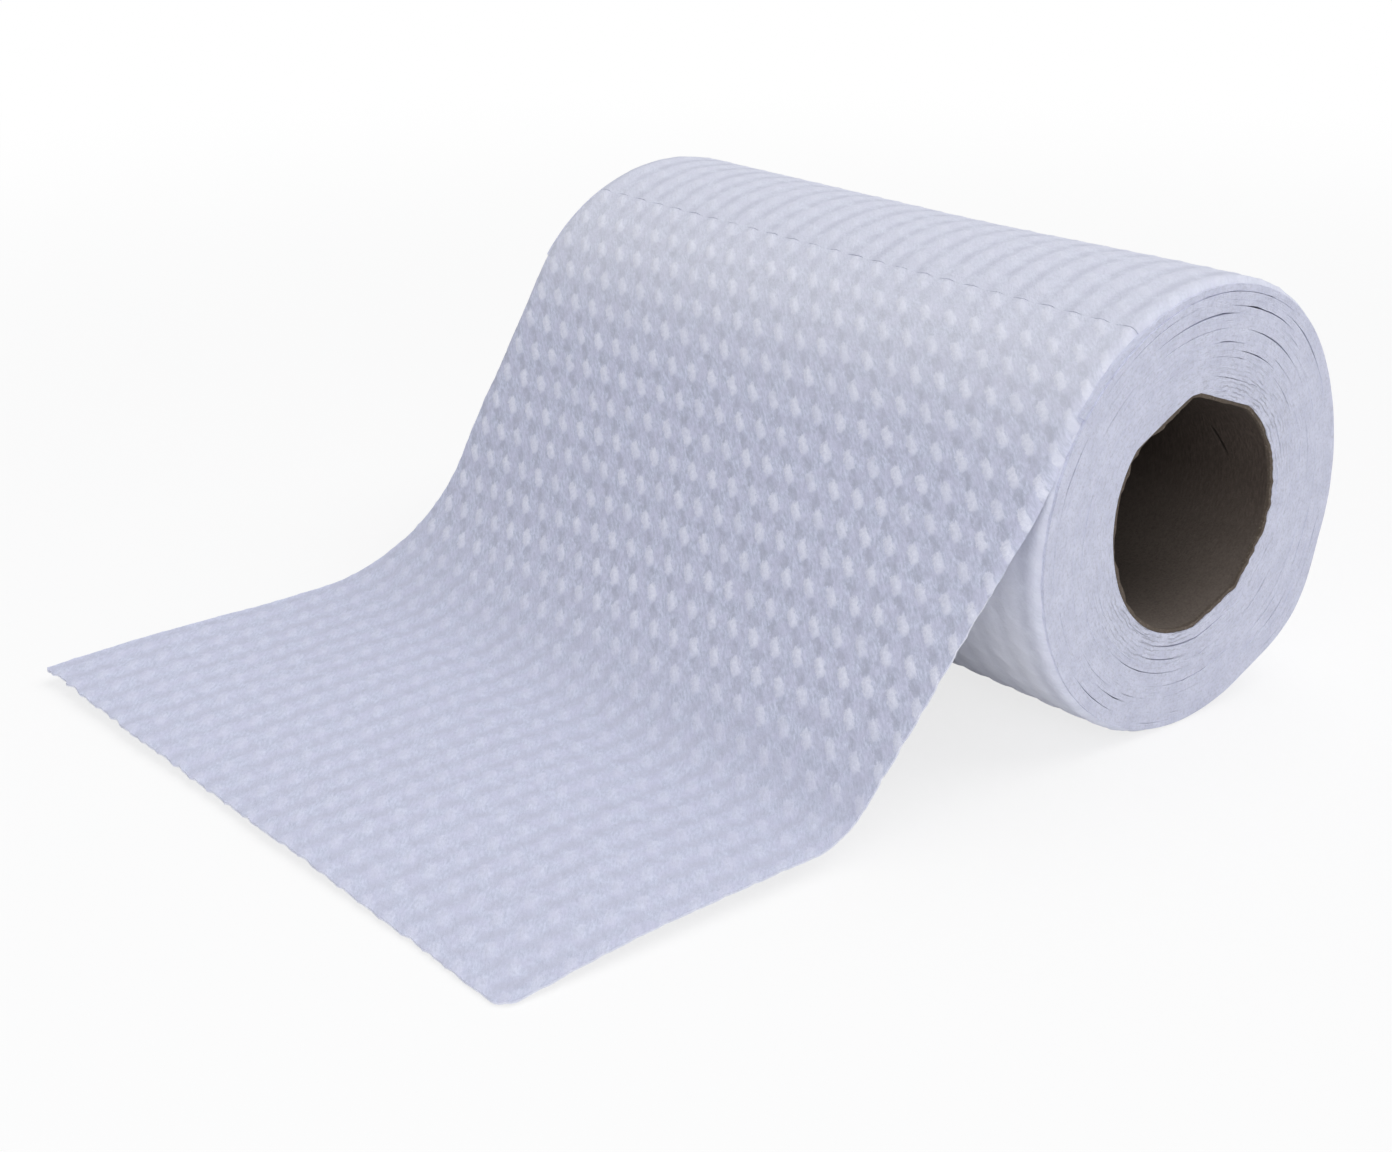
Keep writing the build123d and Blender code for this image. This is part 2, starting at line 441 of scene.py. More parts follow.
wound_end = turn_count - outer_turns
inner_turns = wound_end - start_turn
winding_columns = len(winding_place_shares) - 1
bpy.ops.object.select_all(action="DESELECT")
bpy.ops.mesh.primitive_grid_add(
    x_subdivisions=winding_columns, y_subdivisions=round(inner_turns * winding_steps), size=1.0,
)
wound_cloth = start_piece("wound_cloth")
thickness_share = wound_cloth.vertex_groups.new(name="thickness_share")
for vertex in wound_cloth.data.vertices:
    column = round((vertex.co.x + 0.5) * winding_columns)
    turn = start_turn + (vertex.co.y + 0.5) * inner_turns
    place_share = winding_place_shares[column]
    place = place_share * (cloth_width / 2 - edge_recess(turn, 1 if place_share > 0 else -1))
    taper = max(start_taper_least_share, ease((turn - start_turn) / start_taper_turns))
    flattened = max(0.0, core_radius - pressed_radius(leave_angle + 360.0 * turn, place))
    closed = closed_share * (1.0 - looseness(turn)) + flattened / (mouth_felt_turns * turn_pitch)
    thickness_share.add([vertex.index], taper * min(1.0, closed), "REPLACE")
    vertex.co = wound_point(turn, place, turn_pitch * taper)
apply_modifier(
    wound_cloth, "SOLIDIFY", thickness=wound_thickness_share * turn_pitch, offset=-1.0,
    use_even_offset=False, vertex_group=thickness_share.name,
)
bpy.ops.object.shade_smooth_by_angle(angle=radians(cloth_smooth_angle))


def start_cloth_material(name):
    """A matt material with the faint sheen of loose fibres."""
    material = start_material(name)
    shader.inputs["Roughness"].default_value = 0.95
    shader.inputs["Specular IOR Level"].default_value = 0.1
    shader.inputs["Sheen Weight"].default_value = 0.2
    shader.inputs["Sheen Roughness"].default_value = 0.6
    return material


cut_fibre = start_cloth_material("cut nonwoven edges")
object_place = nodes.new("ShaderNodeTexCoord").outputs["Object"]
object_x, object_y, object_z = split_node(object_place)
rise = math_node("SUBTRACT", object_z, axis_height)
squares = math_node("ADD", math_node("POWER", rise, 2.0), math_node("POWER", object_y, 2.0))
from_axis = math_node("SQRT", squares)
round_angle = math_node("ARCTAN2", rise, object_y)
polar_node = nodes.new("ShaderNodeCombineXYZ")
links.new(from_axis, polar_node.inputs[0])
links.new(product(round_angle, laid_out_radius), polar_node.inputs[1])
links.new(object_x, polar_node.inputs[2])
polar_place = polar_node.outputs[0]
strokes = stretched_noise(polar_place, stroke_scales, 4.0, 0.6)
line_sway = stretched_noise(polar_place, line_sway_scales, 3.0, 0.6)
line_patches = stretched_noise(polar_place, line_patch_scales, 3.0, 0.6)
fuzz = noise_node(object_place, fuzz_scale, 4.0, 0.65)
tufts = noise_node(object_place, tuft_scale, 3.0, 0.6)

# Fine crumpled edges of the turns, over and under the core, bumped in and drawn as dark lines of painted
# shade between the turns
line_place = math_node("DIVIDE", from_axis, turn_line_pitch)
line_place = math_node("MULTIPLY_ADD", line_sway, turn_line_sway_share, line_place)
off_line = math_node("ABSOLUTE", math_node("SUBTRACT", math_node("FRACT", line_place), 0.5))
over_core, under_core = [
    map_node(
        math_node("COSINE", math_node("SUBTRACT", round_angle, radians(angle))),
        cos(radians(crumpled_half_angle)), 1.0,
    )
    for angle in crumpled_angles
]
crumpled_full = core_radius * crumpled_full_share
crumpled_end = core_radius * crumpled_end_share
crumpled = map_node(from_axis, crumpled_full, crumpled_end, 1.0, 0.0)
crumpled = product(crumpled, math_node("MAXIMUM", over_core, under_core))
crumpled = product(crumpled, map_node(line_patches, 0.4, 0.58))
turn_lines = product(map_node(off_line, 0.0, 0.22, 1.0, 0.0), crumpled)

cloth_mix = mix_node(map_node(tufts, 0.3, 0.7), cloth_colour, cloth_edge_colour)
cloth_mix = mix_node(map_node(fuzz, 0.3, 0.55, 0.35, 0.0), cloth_mix, cloth_shade_colour)
near_core = map_node(from_axis, core_radius, core_radius * near_core_share, 1.0, 0.35)
# Painted shade: dark strokes between the layers of the end face, stronger near the core
stroke_shade_share = product(map_node(strokes, 0.28, 0.5, 0.6, 0.0), near_core)
cloth_mix = mix_node(stroke_shade_share, cloth_mix, cloth_shade_colour)
# Painted shade in the lines between the turns
cloth_mix = mix_node(product(turn_lines, 0.75), cloth_mix, cloth_shade_colour)
links.new(cloth_mix, shader.inputs["Base Color"])
cut_height = math_node("MULTIPLY_ADD", strokes, 1.5, fuzz)
cut_height = math_node("MULTIPLY_ADD", turn_lines, -1.5, cut_height)
links.new(bump_node(cut_height, 0.6, cut_bump), shader.inputs["Normal"])
wound_cloth.data.materials.append(cut_fibre)
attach(wound_cloth, "root")
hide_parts("cloth_roll")

# Outer turn: the roll's last turn before the perforated line, where the embossed pearls show.
# It is the same sheet as the turns below it, pressed with rows of soft raised pearls between two rollers.
pearl_pitch = 0.008
pearl_half_length = 0.0025
pearl_half_width = 0.0011
pearl_height = 0.0005
pearl_lean = 48.0
pearl_flattened_share = 0.7
hollow_half_length = 0.0024
hollow_half_width = 0.001
hollow_depth = 0.00028
spot_foot_share = 1.3
spot_slope_share = 0.8
groove_half_width = 0.0014
groove_foot_share = 1.5
groove_least_share = 0.15
groove_pressed_share = 0.5
groove_wave_share = 0.14
wave_fade_rate = 4.0
first_column = 0.0022
first_row = 0.0027
rows_above_leave = 4

# How far the pearls are pressed flat on the roll, and where the free sheet covers it and the roll there is
# painted paler as painted light
roll_pressed_share = 0.82
raised_back_share = 0.55
raised_stretch = (-25.0, 105.0)
covered_painted_light_share = 0.9
covered_stretch = (215.0, 70.0)
covered_inset = 0.012

# Perforated tear line: a scalloped edge with slits that stand open more or less
tear_scallop = 0.00025
tear_gap = 0.00021
tear_reach = 0.004
slit_start_share = 0.5
slit_least_share = 0.1
slit_open_share = 0.8
slit_open_stray_share = 0.6
slit_open_scale = 60.0
slit_open_seeds = (3.0, 9.0)

# Unevenness of the embossing
drawn_across_most = 0.0007
drawn_along_most = 0.0006
drawn_scale = 16.0
drawn_seeds = (5.0, 15.0)
spot_seeds = (1.7, 2.3, 5000.0)
spot_size_stray_share = 0.15
spot_height_share = 0.9
spot_height_stray_share = 0.4
spot_height_seed = 3.1
groove_depth_share = 0.7
groove_depth_stray_share = 0.8
groove_scales = (0.7, 0.9)
groove_seed = 7.0
web_height = 0.0001
web_scale = 2.4
web_seed = 2.0

# Grid lines of the sheet, which lean with the pearls
lines_per_pearl = 8
line_lean_share = 0.58
line_lean_reach_share = 0.33
line_lean_fade = 0.006

cloth_grey_colour = (0.505, 0.54, 0.675, 1.0)
cloth_pale_colour = (0.73, 0.76, 0.935, 1.0)
cloth_lilac_colour = (0.62, 0.62, 0.795, 1.0)
pearl_grey_colour = (0.7, 0.72, 0.86, 1.0)
pearl_white_colour = (0.85, 0.865, 0.985, 1.0)
# Painted shade in the hollows, and the darker mottle of the ground
mottle_and_hollow_shade_colour = (0.45, 0.47, 0.585, 1.0)
# Painted shade in the grooves between the columns of pearls
groove_shade_colour = (0.52, 0.54, 0.655, 1.0)
# Painted light: the colour toward which backed cloth is painted paler
painted_light_colour = (0.89, 0.905, 0.99, 1.0)
fibre_scales = (13.0, 4.0, 0.0)
web_scales = (9.0, 9.0, 0.0)
cloud_scales = (1.7, 1.7, 0.0)
mottle_scales = (5.0, 2.6, 0.0)
worn_scales = (0.8, 0.8, 0.0)
fray_share = 0.36
cloth_bump = 0.0004


def turn_run(turn):
    """Length along the outer turn's outer face, back from where the sheet leaves the roll."""
    return (turn_count - turn) * 2 * pi * (outer_radius - turn_pitch * (turn_count - turn) / 2)


def turn_at(run):
    """The turn at a length back from where the sheet leaves the roll."""
    return turn_count - run / (2 * pi * (outer_radius - turn_pitch * run / (4 * pi * outer_radius)))


def grid_place(index, length, shift):
    """Place of a grid line along a side of the cloth; between its edges it is shifted with the pearls."""
    place = index * pearl_pitch / lines_per_pearl
    inside = min(1.0, place / pearl_pitch, (length - place) / pearl_pitch)
    return place + shift * max(0.0, inside)


def lean_with_pearls(across, along):
    """Moves a grid point across so that the lines lean at each pearl and come back between the rows."""
    off = (along - first_row) / pearl_pitch
    off -= round(off)
    past = max(0.0, abs(off) - line_lean_reach_share)
    lean = min(abs(off), line_lean_reach_share)
    lean -= past * line_lean_reach_share / (0.5 - line_lean_reach_share)
    fade = min(1.0, (cloth_width / 2 - abs(across)) / line_lean_fade)
    return across + line_lean_share * lean * (1 if off > 0 else -1) * pearl_pitch * fade


def roller_place(across, along):
    """Place on the embossing rollers, in pearl pitches; the soft cloth is drawn a bit out of square."""
    scaled = (across * drawn_scale, along * drawn_scale)
    drawn_across = drawn_across_most * uneven(*scaled, drawn_seeds[0])
    drawn_along = drawn_along_most * uneven(*scaled, drawn_seeds[1])
    column_place = (across - first_column + drawn_across) / pearl_pitch
    return column_place, (along - first_row + drawn_along) / pearl_pitch


def leaning_spot(column_place, row_place, half_length, half_width):
    """How far a place lies on the nearest leaning spot: about 1 on its top, 0 beside it."""
    column = round(column_place)
    row = round(row_place)
    stray = Vector((column * spot_seeds[0], row * spot_seeds[1], half_width * spot_seeds[2]))
    off_across = (column_place - column) * pearl_pitch
    off_along = (row_place - row) * pearl_pitch
    lengthwise = off_across * sin(radians(pearl_lean)) + off_along * cos(radians(pearl_lean))
    sideways = off_across * cos(radians(pearl_lean)) - off_along * sin(radians(pearl_lean))
    size = 1.0 + spot_size_stray_share * noise.noise(stray)
    reach = hypot(lengthwise / half_length, sideways / half_width) / size
    top = spot_height_share + spot_height_stray_share * noise.noise(stray * spot_height_seed)
    return ease((spot_foot_share - reach) / spot_slope_share) * top


def embossed_height(column_place, row_place, pressed, backed_painted_light):
    """Height of the embossed face: pearls and hollows, or lengthwise ridges where it is pressed flat."""
    pearl = leaning_spot(column_place, row_place, pearl_half_length, pearl_half_width)
    hollow = leaning_spot(column_place + 0.5, row_place + 0.5, hollow_half_length, hollow_half_width)
    wave = groove_wave_share * min(1.0, wave_fade_rate * (1.0 - pressed)) * max(0.0, 1.0 - backed_painted_light)
    waved_place = column_place - wave * sin(2 * pi * row_place)
    off_groove = abs(waved_place % 1.0 - 0.5) * pearl_pitch
    groove = ease(groove_foot_share - off_groove / groove_half_width)
    groove *= groove_least_share + groove_pressed_share * pressed
    stray = uneven(column_place * groove_scales[0], row_place * groove_scales[1], groove_seed)
    groove *= groove_depth_share + groove_depth_stray_share * stray
    web = web_height * uneven(column_place * web_scale, row_place * web_scale, web_seed)
    raised = pearl_height * pearl * (1.0 - pearl_flattened_share * pressed)
    return raised - hollow_depth * (hollow * (1.0 - pressed) + groove) + web


def tear_edge(across):
    """The tear line's scallop at a place across the cloth, and half the width of its slit there."""
    phase = 2 * pi * across / pearl_pitch
    open_share = ease((cos(phase) + slit_start_share) / slit_start_share)
    stray = uneven(across * slit_open_scale, *slit_open_seeds)
    open_share *= slit_open_share + slit_open_stray_share * stray
    return -tear_scallop * cos(phase), tear_gap / 2 * max(slit_least_share, open_share)


def recessed(across, turn):
    """Place across the outer turn, drawn in as the cut edge of the turn below it is."""
    side = 1 if across > 0 else -1
    return across - side * edge_recess(turn - 1.0, side) * abs(across) * 2 / cloth_width


def lay_pattern(piece, places, painted_light_backing):
    """Stores each point's place on the rollers, its flatness and its backing, which the material paints as
    light.
    """
    pattern = piece.data.attributes.new("pattern", "FLOAT_VECTOR", "POINT")
    pattern.data.foreach_set("vector", [number for place in places for number in place])
    backed_painted_light = piece.data.attributes.new("backed_painted_light", "FLOAT", "POINT")
    backed_painted_light.data.foreach_set("value", painted_light_backing)


tear_run = rows_above_leave * pearl_pitch
outer_rows = int((turn_run(turn_count - 1) - tear_run) / pearl_pitch) + 1
outer_length = outer_rows * pearl_pitch
outer_lines = outer_rows * lines_per_pearl
columns = round(cloth_width / pearl_pitch) * lines_per_pearl
bpy.ops.object.select_all(action="DESELECT")
bpy.ops.mesh.primitive_grid_add(x_subdivisions=columns, y_subdivisions=outer_lines, size=1.0)
outer_turn = start_piece("outer_turn")
pattern_places = []
painted_light_backing = []
for vertex in outer_turn.data.vertices:
    column = round((0.5 - vertex.co.x) * columns)
    row = round((vertex.co.y + 0.5) * outer_lines)
    across = grid_place(column, cloth_width, first_column - pearl_pitch / 2) - cloth_width / 2
    back = outer_length - grid_place(row, outer_length, first_row - pearl_pitch / 2)
    across = lean_with_pearls(across, -back)
    column_place, row_place = roller_place(across, -back)
    scallop, slit = tear_edge(across)
    turn = turn_at(tear_run + back - (scallop - slit) * max(0.0, 1.0 - back / tear_reach))
    angle = leave_angle + 360.0 * turn
    inset = cloth_width / 2 - abs(across)
    pressed = roll_pressed_share - swell(angle, raised_back_share, *raised_stretch)
    covered_painted_light = swell(angle, covered_painted_light_share, *covered_stretch) * ease(inset / covered_inset)
    pattern_places.append((column_place, row_place, pressed))
    # Painted light: the whole roll is painted paler, more where the free sheet covers and shades it
    painted_light_backing.append(1.0 + covered_painted_light)
    lift = embossed_height(column_place, row_place, pressed, 1.0) * min(1.0, inset / shoulder_radius)
    lift -= min(shoulder(inset), shoulder_drop)
    vertex.co = wound_point(turn, recessed(across, turn), cloth_thickness + lift)
lay_pattern(outer_turn, pattern_places, painted_light_backing)
apply_modifier(outer_turn, "SOLIDIFY", thickness=cloth_thickness, offset=-1.0, use_rim_only=True)
bpy.ops.object.shade_smooth_by_angle(angle=radians(cloth_smooth_angle))


def attribute_node(name):
    """The Attribute node of one of the attributes that lay_pattern stores."""
    node = nodes.new("ShaderNodeAttribute")
    node.attribute_name = name
    return node


def centred(value):
    """Distance, from -0.5 to 0.5, to the nearest whole number."""
    return math_node("SUBTRACT", math_node("FRACT", math_node("ADD", value, 0.5)), 0.5)


def spot_mask(across, along, half_length, half_width):
    """The same leaning spots in the material, from 0 to 1, on places given in pearl pitches."""
    off_across = centred(across)
    off_along = centred(along)
    lean_sine = sin(radians(pearl_lean)) * pearl_pitch
    lean_cosine = cos(radians(pearl_lean)) * pearl_pitch
    lengthwise = math_node(
        "ADD",
        product(off_across, lean_sine / half_length),
        product(off_along, lean_cosine / half_length),
    )
    sideways = math_node(
        "SUBTRACT",
        product(off_across, lean_cosine / half_width),
        product(off_along, lean_sine / half_width),
    )
    reach = math_node("ADD", math_node("POWER", lengthwise, 4.0), math_node("POWER", sideways, 4.0))
    return map_node(reach, 0.0, 3.0, 1.0, 0.0)


nonwoven = start_cloth_material("embossed nonwoven")
place = attribute_node("pattern").outputs["Vector"]
column_place, row_place, pressed = split_node(place)
backed_painted_light = attribute_node("backed_painted_light").outputs["Fac"]
leaning_node = nodes.new("ShaderNodeMapping")
leaning_node.inputs["Rotation"].default_value = (0.0, 0.0, radians(pearl_lean))
links.new(place, leaning_node.inputs["Vector"])
leaning_place = leaning_node.outputs[0]
fibres = stretched_noise(leaning_place, fibre_scales, 5.0, 0.65)
web = stretched_noise(place, web_scales, 5.0, 0.7)
clouds = stretched_noise(place, cloud_scales, 3.0, 0.6)
mottle = stretched_noise(leaning_place, mottle_scales, 4.0, 0.65)
worn = stretched_noise(place, worn_scales, 2.0, 0.5)

# Pearls, hollows and grooves, with frayed outlines; the hollows and grooves are painted darker as painted
# shade
across = math_node("ADD", column_place, product(math_node("SUBTRACT", web, 0.5), fray_share))
along = math_node("ADD", row_place, product(math_node("SUBTRACT", fibres, 0.5), fray_share))
raised = math_node("MULTIPLY_ADD", pressed, -0.85, 1.0)
pearl = spot_mask(across, along, pearl_half_length, pearl_half_width)
pearl = product(pearl, product(raised, map_node(worn, 0.3, 0.6, 0.6, 1.0)))
hollow_across = math_node("ADD", across, 0.5)
hollow_along = math_node("ADD", along, 0.5)
hollow = spot_mask(hollow_across, hollow_along, hollow_half_length, hollow_half_width)
hollow = product(product(hollow, raised), map_node(mottle, 0.35, 0.6, 0.2, 0.6))
unpressed = math_node("MULTIPLY_ADD", pressed, -wave_fade_rate, wave_fade_rate, clamp=True)
unbacked = math_node("SUBTRACT", 1.0, backed_painted_light, clamp=True)
wave = product(math_node("SINE", product(along, 2 * pi)), product(unpressed, unbacked))
waved_across = math_node("MULTIPLY_ADD", wave, -groove_wave_share, across)
off_groove = math_node("ABSOLUTE", math_node("SUBTRACT", math_node("FRACT", waved_across), 0.5))
groove = map_node(off_groove, 0.02, 0.3, 1.0, 0.0)
groove = product(groove, product(pressed, map_node(backed_painted_light, 1.0, 1.9, 0.6, 0.2)))
groove = product(groove, map_node(clouds, 0.3, 0.6))

calm = math_node("MULTIPLY_ADD", pressed, -0.5, 1.0)
fibre_share = math_node("MULTIPLY_ADD", map_node(fibres, 0.33, 0.67, -0.5, 0.5), calm, 0.5)
ground = mix_node(fibre_share, cloth_grey_colour, cloth_pale_colour)
ground = mix_node(map_node(clouds, 0.35, 0.65, 0.0, 0.55), ground, cloth_lilac_colour)
ground = mix_node(product(map_node(mottle, 0.45, 0.7, 0.0, 0.45), calm), ground, mottle_and_hollow_shade_colour)
# Painted shade in the hollows between the pearls
ground = mix_node(hollow, ground, mottle_and_hollow_shade_colour)
pearls = mix_node(map_node(web, 0.3, 0.7), pearl_grey_colour, pearl_white_colour)
cloth_mix = mix_node(pearl, ground, pearls)
# Painted light: the cloth is painted paler where it is backed, on the roll, under the free sheet and on the
# sheet's inner face
cloth_mix = mix_node(product(backed_painted_light, 0.42), cloth_mix, painted_light_colour)
# Painted shade in the grooves between the columns of pearls
cloth_mix = mix_node(groove, cloth_mix, groove_shade_colour)
links.new(cloth_mix, shader.inputs["Base Color"])
links.new(bump_node(math_node("ADD", fibres, web), 0.48, cloth_bump), shader.inputs["Normal"])
outer_turn.data.materials.append(nonwoven)
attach(outer_turn, "root")
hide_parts("cloth_roll")

# Free sheet: the last sheet of the cloth, from the perforated line to its cut end.
# It follows the roll for a little, hangs down in front of it and lies out on the floor.
sheet_length = 0.22
free_thickness = 0.0007
free_floor_gap = 0.0002
free_run = sheet_length - tear_run
leave_heading = leave_angle + 90.0 - degrees(atan2(turn_pitch, 2 * pi * outer_radius))
leave_place = wound_point(turn_count, 0.0, cloth_thickness)

# Hanging curves of its two edges: each leave and bend has a run and a turn
left_leave = (0.022, 2.0)
left_bend = (0.06, -61.0)
left_arch_angle = 1.0
left_end_height = 0.0038
right_leave = (0.036, -11.8)
right_bend = (0.0165, -49.2)
right_arch_angle = 8.7
right_end_height = 0.0009
end_skew = 0.0065
free_fade = 0.05
billow = 0.0008
billow_scale = 22.0
billow_seed = 4.0

# Ragged edges and the rounded right corner
corner_round = 0.004
side_fray = 0.0005
side_wave_scale = 70.0
side_fray_scale = 420.0
side_fray_share = 0.5
side_seed = 4.0
end_fray = 0.0004
end_wave_scale = 50.0
end_fray_scale = 350.0
end_fray_share = 0.6
end_seed = 7.0
wave_seed = 6.0
fray_seed = 2.0
nib_length = 0.0003
nib_share = 0.6
nib_start_share = 0.55

# Where the pearls are pressed flat, and where the sheet is painted paler as painted light: where it lies on
# the roll, and on its inner face
tear_pressed_share = 0.6
tear_press_fade = 0.014
tail_pressed_share = 0.85
tail_press_height = 0.004
tail_press_fade = 0.022
painted_light_start = 0.008
painted_light_fade = 0.045
inner_face_painted_light_share = 1.9


def chord(heading, turn):
    """Travel in y and in z for each length along an arc that starts at a heading and turns."""
    half = radians(turn) / 2
    span = sin(half) / half if half else 1.0
    return span * cos(radians(heading) + half), span * sin(radians(heading) + half)


def hanging_runs(leave, bend, arch_angle, end_height):
    """Runs and turns of one edge of the free sheet; its straight drop follows from the end's height."""
    leave_run, leave_turn = leave
    bend_run, bend_turn = bend
    drop_heading = leave_heading + leave_turn
    arch_heading = drop_heading + bend_turn
    fall = leave_place.z - end_height + leave_run * chord(leave_heading, leave_turn)[1]
    fall += bend_run * chord(drop_heading, bend_turn)[1]
    spare = free_run - leave_run - bend_run
    arch_rise = chord(arch_heading, arch_angle)[1]
    drop = (fall + spare * arch_rise) / (arch_rise - chord(drop_heading, 0.0)[1])
    return leave, (drop, 0.0), bend, (spare - drop, arch_angle), (end_skew * 2, 0.0)


def hanging_point(runs, length):
    """Place in y and z, and heading, at a length along the free sheet from where it leaves the roll."""
    along_y, along_z, heading = leave_place.y, leave_place.z, leave_heading
    for run, turn in runs:
        step = min(length, run)
        part = turn * step / run
        travel_y, travel_z = chord(heading, part)
        along_y += step * travel_y
        along_z += step * travel_z
        heading += part
        length -= step
        if length <= 0.0:
            break
    return along_y, along_z, heading


def ragged_edge(across, along):
    """A point of the free sheet after its right corner is rounded and its side and end are frayed."""
    side = 1 if across > 0 else -1
    inset = cloth_width / 2 - abs(across)
    near_side = max(0.0, 1.0 - inset / corner_round)
    near_end = max(0.0, 1.0 - (sheet_length - along) / corner_round)
    if side > 0 and near_side > 0.0 and near_end > 0.0:
        inward = 1.0 - max(near_side, near_end) / hypot(near_side, near_end)
        across -= inward * near_side * corner_round
        along -= inward * near_end * corner_round
    ragged_side = uneven(along * side_wave_scale, side * side_seed, wave_seed)
    ragged_side += side_fray_share * uneven(along * side_fray_scale, side * side_seed, fray_seed)
    ragged_end = uneven(across * end_wave_scale, end_seed, wave_seed)
    ragged_end += end_fray_share * uneven(across * end_fray_scale, end_seed, fray_seed)
    at_nib = ease((cos(2 * pi * across / pearl_pitch) - nib_start_share) / (1.0 - nib_start_share))
    nib = nib_length * at_nib * (nib_share + ragged_end)
    across -= side * side_fray * (1.0 + ragged_side) * near_side
    along -= (end_fray * (1.0 + ragged_end) - nib) * near_end
    return across, along


left_runs = hanging_runs(left_leave, left_bend, left_arch_angle, left_end_height)
right_runs = hanging_runs(right_leave, right_bend, right_arch_angle, right_end_height)
sheet_lines = round(sheet_length / pearl_pitch * lines_per_pearl)
bpy.ops.object.select_all(action="DESELECT")
bpy.ops.mesh.primitive_grid_add(x_subdivisions=columns, y_subdivisions=sheet_lines, size=1.0)
free_sheet = start_piece("free_sheet")
pattern_places = []
painted_light_backing = []
for vertex in free_sheet.data.vertices:
    column = round((0.5 - vertex.co.x) * columns)
    row = round((vertex.co.y + 0.5) * sheet_lines)
    across = grid_place(column, cloth_width, first_column - pearl_pitch / 2) - cloth_width / 2
    along = grid_place(row, sheet_length, first_row - pearl_pitch / 2)
    across = lean_with_pearls(across, along)
    column_place, row_place = roller_place(across, along)
    scallop, slit = tear_edge(across)
    along += (scallop + slit) * max(0.0, 1.0 - along / tear_reach)
    along *= 1.0 + end_skew / sheet_length * (0.5 - across / cloth_width)
    inset = cloth_width / 2 - abs(across)
    across, along = ragged_edge(across, along)
    # Painted light: the sheet is painted paler where it still lies on the roll
    backed_painted_light = 1.0 - ease((along - painted_light_start) / painted_light_fade)
    painted_light_backing.append(backed_painted_light)
    if along < tear_run:
        pressed = tear_pressed_share * roll_pressed_share * (1.0 - ease(along / tear_press_fade))
        pattern_places.append((column_place, row_place, pressed))
        lift = embossed_height(column_place, row_place, pressed, backed_painted_light) * min(1.0, inset / shoulder_radius)
        lift -= min(shoulder(inset), shoulder_drop)
        turn = turn_at(tear_run - along)
        vertex.co = wound_point(turn, recessed(across, turn), cloth_thickness + lift)
        continue
    left_y, left_z, left_heading = hanging_point(left_runs, along - tear_run)
    right_y, right_z, right_heading = hanging_point(right_runs, along - tear_run)
    right_share = across / cloth_width + 0.5
    heading = radians(left_heading + (right_heading - left_heading) * right_share)
    face_y = left_y + (right_y - left_y) * right_share
    face_z = left_z + (right_z - left_z) * right_share
    free = ease((along - tear_run) / free_fade)
    pressed = tail_pressed_share * (1.0 - ease((face_z - tail_press_height) / tail_press_fade))
    pattern_places.append((column_place, row_place, pressed))
    edge_fade = min(1.0, free + inset / shoulder_radius)
    lift = embossed_height(column_place, row_place, pressed, backed_painted_light) * edge_fade
    lift -= min(shoulder(inset), shoulder_drop) * (1.0 - free)
    lift += free * billow * uneven(across * billow_scale, along * billow_scale, billow_seed)
    across += (recessed(across, turn_count) - across) * (1.0 - free)
    height = max(face_z - lift * cos(heading), free_thickness + free_floor_gap)
    vertex.co = (across, face_y + lift * sin(heading), height)
lay_pattern(free_sheet, pattern_places, painted_light_backing)
apply_modifier(free_sheet, "SOLIDIFY", thickness=free_thickness, offset=-1.0, use_even_offset=False)
# Painted light: the shaded inner face of the sheet is painted paler
for inner_point in free_sheet.data.attributes["backed_painted_light"].data[len(painted_light_backing):]:
    inner_point.value = inner_face_painted_light_share
bpy.ops.object.shade_smooth_by_angle(angle=radians(cloth_smooth_angle))
free_sheet.data.materials.append(nonwoven)
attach(free_sheet, "root")
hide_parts("cloth_roll")

# Setting: a plain white floor, soft studio light from above and from the front, and the photograph's
# camera. Near the object the floor shows its shadow, and further off it is seen plain white.
floor_size = 8.0
floor_colour = (0.92, 0.92, 0.92, 1.0)
shadow_fade_start = 0.3
shadow_fade_end = 0.9
shadow_white_share = 0.76
sky_colour = (0.97, 0.98, 1.0, 1.0)
sky_strength = 0.3
ground_colour = (1.0, 1.0, 1.0, 1.0)
key_place = Vector((0.1, 0.45, 0.88))
key_strength = 1.86
key_spread_angle = 65.0
front_place = Vector((0.96, -1.2, 0.42))
front_power = 12.4
front_size = 1.9
camera_place = (0.3993, -0.4005, 0.2324)
camera_azimuth = 50.45
camera_elevation = 21.74
image_width = 1392.0
focal_pixels = 2193.0


def shown_rays():
    """1 for rays that show the white ground itself: to the camera, in a gloss or through clear things."""
    path = nodes.new("ShaderNodeLightPath")
    seen_or_mirrored = math_node("ADD", path.outputs["Is Camera Ray"], path.outputs["Is Glossy Ray"])
    return math_node("ADD", seen_or_mirrored, path.outputs["Is Transmission Ray"], clamp=True)


def mix_shaders(share, first, second):
    """A Mix Shader of two shader nodes by a share socket."""
    node = nodes.new("ShaderNodeMixShader")
    links.new(share, node.inputs[0])
    links.new(first.outputs[0], node.inputs[1])
    links.new(second.outputs[0], node.inputs[2])
    return node


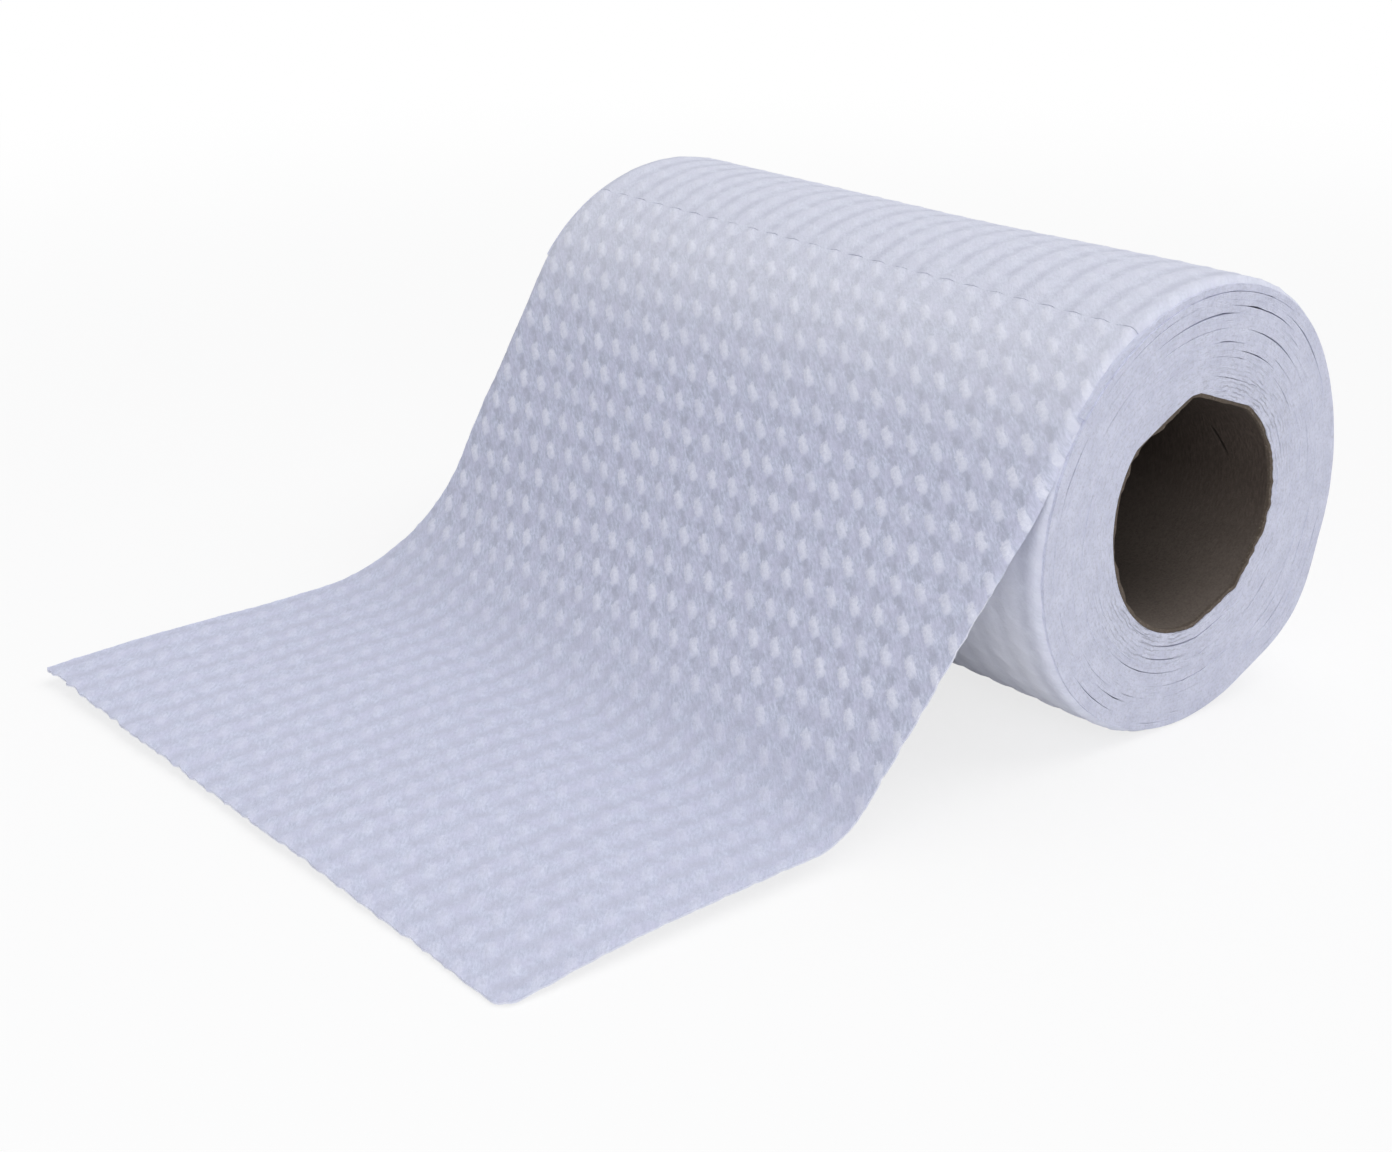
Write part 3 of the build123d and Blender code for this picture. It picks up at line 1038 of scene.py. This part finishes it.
bpy.ops.object.select_all(action="DESELECT")
bpy.ops.mesh.primitive_plane_add(size=floor_size, location=(0.0, 0.0, -floor_clearance))
floor = start_piece("floor")
bpy.ops.object.transform_apply(location=True, rotation=True, scale=True)
floor_white = start_material("white studio floor")
nodes.remove(shader)
paint = nodes.new("ShaderNodeBsdfDiffuse")
paint.inputs["Color"].default_value = floor_colour
glow = nodes.new("ShaderNodeEmission")
glow.inputs["Strength"].default_value = 1.0
from_object = nodes.new("ShaderNodeVectorMath")
from_object.operation = "LENGTH"
links.new(nodes.new("ShaderNodeTexCoord").outputs["Object"], from_object.inputs[0])
white_share = map_node(
    from_object.outputs["Value"], shadow_fade_start, shadow_fade_end, shadow_white_share, 1.0,
)
floor_surface = mix_shaders(shown_rays(), paint, mix_shaders(white_share, paint, glow))
links.new(floor_surface.outputs[0], nodes["Material Output"].inputs["Surface"])
floor.data.materials.append(floor_white)

world = bpy.data.worlds.new("studio")
bpy.context.scene.world = world
world.use_nodes = True
nodes = world.node_tree.nodes
links = world.node_tree.links
soft_light = nodes["Background"]
soft_light.inputs["Color"].default_value = sky_colour
soft_light.inputs["Strength"].default_value = sky_strength
white_ground = nodes.new("ShaderNodeBackground")
white_ground.inputs["Color"].default_value = ground_colour
world_surface = mix_shaders(shown_rays(), soft_light, white_ground)
links.new(world_surface.outputs[0], nodes["World Output"].inputs["Surface"])

bpy.ops.object.light_add(type="SUN", location=key_place)
key_light = bpy.context.active_object
key_light.rotation_euler = key_place.to_track_quat("Z", "Y").to_euler()
key_light.data.energy = key_strength
key_light.data.angle = radians(key_spread_angle)
bpy.ops.object.light_add(type="AREA", location=front_place)
front_light = bpy.context.active_object
front_light.rotation_euler = front_place.to_track_quat("Z", "Y").to_euler()
front_light.data.shape = "DISK"
front_light.data.size = front_size
front_light.data.energy = front_power
front_light.visible_camera = False

bpy.ops.object.camera_add(
    location=camera_place, rotation=(radians(90.0 - camera_elevation), 0.0, radians(camera_azimuth)),
)
camera = bpy.context.active_object
camera.data.sensor_fit = "HORIZONTAL"
camera.data.sensor_width = 36.0
camera.data.lens = camera.data.sensor_width * focal_pixels / image_width
bpy.context.scene.camera = camera
bpy.context.scene.view_settings.view_transform = "Standard"
